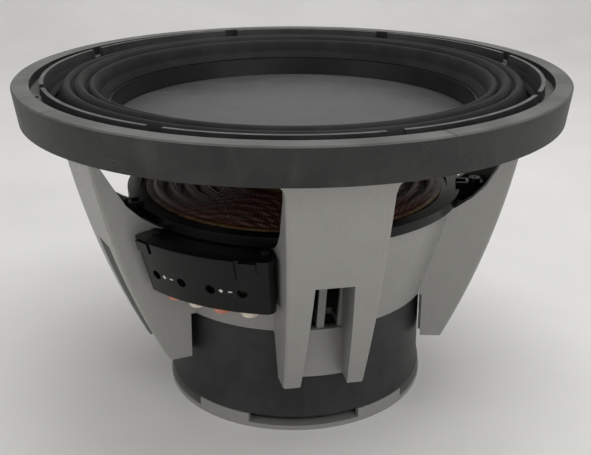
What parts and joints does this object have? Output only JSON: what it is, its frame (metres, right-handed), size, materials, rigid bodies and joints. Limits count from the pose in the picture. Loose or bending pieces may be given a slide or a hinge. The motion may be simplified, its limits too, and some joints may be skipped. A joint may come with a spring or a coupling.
{
  "type": "car subwoofer speaker",
  "caption": "Round deep-cone speaker driver with a notched rim, ribbed basket, covered motor and push-button wire terminals.",
  "frame": {"origin": "centre of the back cap's lower face, on the speaker's axis", "axes": "+Z along the speaker's axis towards the cone; the terminal block faces -Y"},
  "size_m": [0.33, 0.33, 0.2026],
  "materials": {
    "cast_frame": "satin silver-grey coating",
    "gasket_rubber": "matte",
    "clamp_plastic": "matte",
    "surround_rubber": "matte",
    "spider_cloth": "woven",
    "black_plastic": "satin",
    "screw_steel": "satin",
    "motor_steel": "satin",
    "ferrite": "matte",
    "copper": "satin",
    "boot_rubber": "matte, dusty",
    "white_print": "matte",
    "cone_black": "satin",
    "cap_grey": "satin",
    "former_film": "satin",
    "button_red": "gloss",
    "button_cream": "gloss"
  },
  "bodies": {
    "frame": {"basket": "cast_frame", "mounting_gasket": "gasket_rubber", "surround_clamp_ring": "clamp_plastic", "surround": "surround_rubber", "spider": "spider_cloth", "spider_ring": "black_plastic", "spider_ring_screws": "screw_steel", "top_plate": "motor_steel", "magnet_upper": "ferrite", "magnet_lower": "ferrite", "yoke": "motor_steel", "shorting_ring": "copper", "vent_screen": "motor_steel", "magnet_boot": "boot_rubber", "back_cap": "cast_frame", "back_cap_screws": "screw_steel", "frame_screws": "screw_steel", "terminal_housing": "black_plastic", "terminal_cover": "black_plastic", "terminal_latches": "black_plastic", "polarity_marks": "white_print", "contact_plates": "copper", "tinsel_leads": "copper", "lead_wires": "gasket_rubber", "terminal_screws": "screw_steel", "spring_first_positive": "screw_steel", "spring_first_negative": "screw_steel", "spring_second_positive": "screw_steel", "spring_second_negative": "screw_steel"},
    "cone_assembly": {"cone": "cone_black", "dust_cap": "cap_grey", "coil_former": "former_film", "voice_coil_lower": "copper", "voice_coil_upper": "copper", "neck_collar": "former_film"},
    "button_first_positive": {"button_first_positive": "button_red"},
    "button_first_negative": {"button_first_negative": "button_cream"},
    "button_second_positive": {"button_second_positive": "button_red"},
    "button_second_negative": {"button_second_negative": "button_cream"}
  },
  "joints": [
    {"name": "cone_travel", "type": "slide", "parent": "frame", "child": "cone_assembly", "axis": [0, 0, 1], "range_m": [-0.015, 0.015], "stiffness_N_per_m": 5300, "deforming": ["surround", "spider", "tinsel_leads"]},
    {"name": "button_first_positive_push", "type": "slide", "parent": "frame", "child": "button_first_positive", "axis": [-0.0653, -0.2493, 0.9662], "range_m": [0, 0.0025], "stiffness_N_per_m": 800, "springref_m": -0.002, "deforming": ["spring_first_positive"]},
    {"name": "button_first_negative_push", "type": "slide", "parent": "frame", "child": "button_first_negative", "axis": [-0.0253, -0.2564, 0.9662], "range_m": [0, 0.0025], "stiffness_N_per_m": 800, "springref_m": -0.002, "deforming": ["spring_first_negative"]},
    {"name": "button_second_positive_push", "type": "slide", "parent": "frame", "child": "button_second_positive", "axis": [0.0154, -0.2572, 0.9662], "range_m": [0, 0.0025], "stiffness_N_per_m": 800, "springref_m": -0.002, "deforming": ["spring_second_positive"]},
    {"name": "button_second_negative_push", "type": "slide", "parent": "frame", "child": "button_second_negative", "axis": [0.0557, -0.2516, 0.9662], "range_m": [0, 0.0025], "stiffness_N_per_m": 800, "springref_m": -0.002, "deforming": ["spring_second_negative"]}
  ]
}
